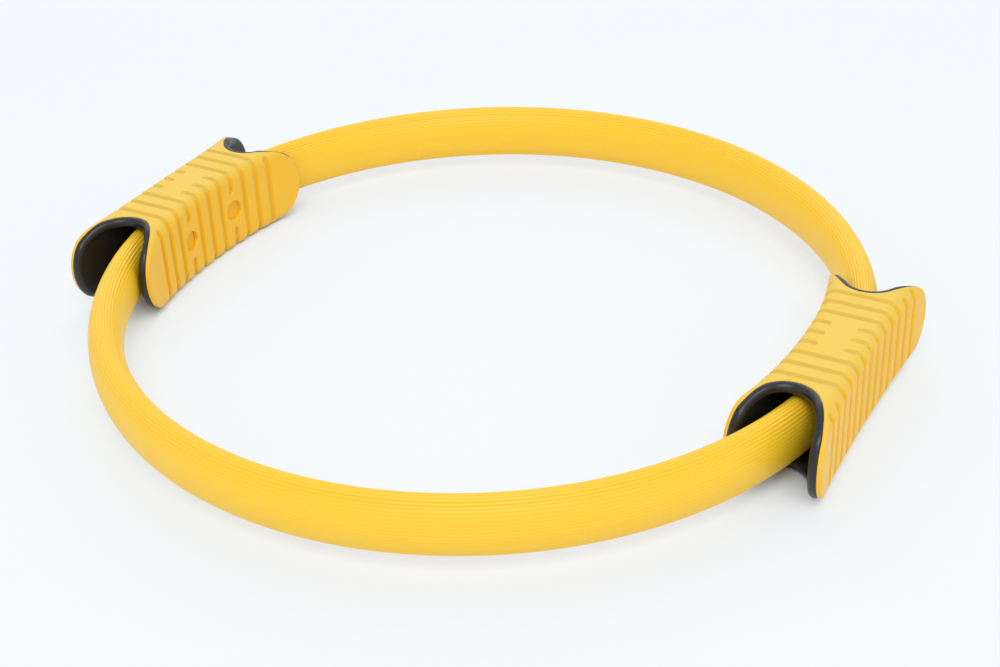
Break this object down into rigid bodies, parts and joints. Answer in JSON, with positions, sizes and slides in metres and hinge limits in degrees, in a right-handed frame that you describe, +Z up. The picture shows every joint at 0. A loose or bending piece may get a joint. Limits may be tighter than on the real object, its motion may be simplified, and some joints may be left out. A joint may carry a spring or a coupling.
{
  "type": "pilates ring",
  "caption": "Springy exercise hoop: flat spring strips in a ribbed oval hose, joined by soft grooved hourglass handles with dark rolled mouths, squeezed between hands or legs.",
  "frame": {"origin": "centre of the hoop, on the floor under the two handles", "axes": "+X through the middle of the right handle, +Y through the middle of the rear bow, +Z up along the hoop's axis"},
  "size_m": [0.3728, 0.3554, 0.0416],
  "materials": {
    "hose": "satin yellow soft hose with fine lengthwise ribs",
    "strip": "pale glass-fibre laminate",
    "grip": "matt ochre-yellow soft moulding",
    "core": "satin charcoal moulding",
    "screw": "zinc plated",
    "washer": "zinc plated",
    "plug": "matt ochre-yellow soft moulding"
  },
  "bodies": {
    "left_handle": {"left_grip_skin": "grip", "left_handle_core": "core", "left_front_screw": "screw", "left_front_washer": "washer", "left_front_plug": "plug", "left_rear_screw": "screw", "left_rear_washer": "washer", "left_rear_plug": "plug"},
    "right_handle": {"right_grip_skin": "grip", "right_handle_core": "core"},
    "front_bow": {"front_sleeve": "hose", "front_inner_strip": "strip", "front_outer_strip": "strip"},
    "rear_bow": {"rear_sleeve": "hose", "rear_inner_strip": "strip", "rear_outer_strip": "strip"},
    "right_front_fixing": {"right_front_screw": "screw", "right_front_washer": "washer", "right_front_plug": "plug"},
    "right_rear_fixing": {"right_rear_screw": "screw", "right_rear_washer": "washer", "right_rear_plug": "plug"}
  },
  "joints": [
    {"name": "squeeze", "type": "slide", "parent": "left_handle", "child": "right_handle", "axis": [-1, 0, 0], "range_m": [-0.02, 0.07], "stiffness_N_per_m": 1200, "deforming": ["front_sleeve", "front_inner_strip", "front_outer_strip", "rear_sleeve", "rear_inner_strip", "rear_outer_strip"]},
    {"name": "front_bulge", "type": "slide", "parent": "left_handle", "child": "front_bow", "axis": [-0.7359, -0.6771, 0], "range_m": [-0.0137, 0.0477], "deforming": ["front_sleeve", "front_inner_strip", "front_outer_strip"]},
    {"name": "rear_bulge", "type": "slide", "parent": "left_handle", "child": "rear_bow", "axis": [-0.7359, 0.6771, 0], "range_m": [-0.0137, 0.0477], "deforming": ["rear_sleeve", "rear_inner_strip", "rear_outer_strip"]},
    {"name": "front_end", "type": "slide", "parent": "front_bow", "child": "right_front_fixing", "axis": [-0.7359, 0.6771, 0], "range_m": [-0.0137, 0.0477]},
    {"name": "rear_end", "type": "slide", "parent": "rear_bow", "child": "right_rear_fixing", "axis": [-0.7359, -0.6771, 0], "range_m": [-0.0137, 0.0477]}
  ],
  "couplings": [
    {"joint": "front_bulge", "follows": "squeeze", "ratio": 0.67941},
    {"joint": "rear_bulge", "follows": "squeeze", "ratio": 0.67941},
    {"joint": "front_end", "follows": "squeeze", "ratio": 0.67941},
    {"joint": "rear_end", "follows": "squeeze", "ratio": 0.67941}
  ]
}
